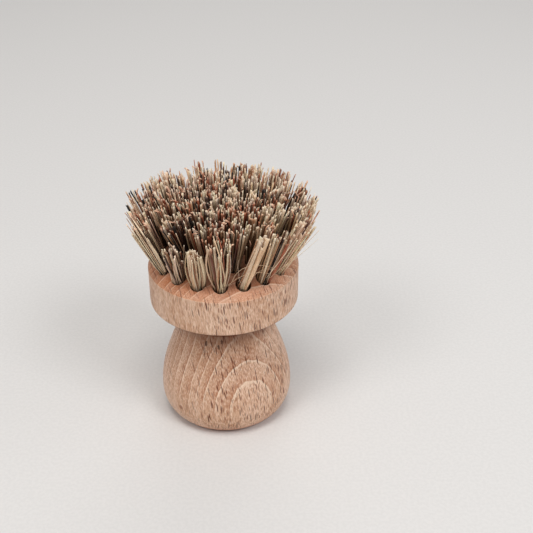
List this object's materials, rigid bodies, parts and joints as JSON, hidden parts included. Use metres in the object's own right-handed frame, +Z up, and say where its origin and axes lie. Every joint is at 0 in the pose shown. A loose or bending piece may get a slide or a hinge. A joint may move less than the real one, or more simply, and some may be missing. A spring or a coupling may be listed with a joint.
{
  "type": "palm brush",
  "caption": "Small scrubbing brush held in the palm: a turned wooden handle with a knob, a finger waist and a round head of splayed tufts of stiff plant fibre.",
  "frame": {"origin": "centre of the flat foot that the brush stands on", "axes": "+Z up along the turned handle's axis, towards the bristle tips; -Y towards the tuft that faces the viewer; +X to the right"},
  "size_m": [0.063, 0.064, 0.0815],
  "materials": {
    "beech": "matte",
    "fibre": "matte",
    "anchor_steel": "satin"
  },
  "bodies": {
    "root": {"handle": "beech", "tuft_centre": "fibre", "tuft_inner_01": "fibre", "tuft_inner_02": "fibre", "tuft_inner_03": "fibre", "tuft_inner_04": "fibre", "tuft_inner_05": "fibre", "tuft_inner_06": "fibre", "tuft_middle_01": "fibre", "tuft_middle_02": "fibre", "tuft_middle_03": "fibre", "tuft_middle_04": "fibre", "tuft_middle_05": "fibre", "tuft_middle_06": "fibre", "tuft_middle_07": "fibre", "tuft_middle_08": "fibre", "tuft_middle_09": "fibre", "tuft_middle_10": "fibre", "tuft_middle_11": "fibre", "tuft_middle_12": "fibre", "tuft_outer_01": "fibre", "tuft_outer_02": "fibre", "tuft_outer_03": "fibre", "tuft_outer_04": "fibre", "tuft_outer_05": "fibre", "tuft_outer_06": "fibre", "tuft_outer_07": "fibre", "tuft_outer_08": "fibre", "tuft_outer_09": "fibre", "tuft_outer_10": "fibre", "tuft_outer_11": "fibre", "tuft_outer_12": "fibre", "tuft_outer_13": "fibre", "tuft_outer_14": "fibre", "tuft_outer_15": "fibre", "tuft_outer_16": "fibre", "tuft_outer_17": "fibre", "tuft_outer_18": "fibre", "anchor_centre": "anchor_steel", "anchors_inner": "anchor_steel", "anchors_middle": "anchor_steel", "anchors_outer": "anchor_steel"}
  },
  "joints": []
}
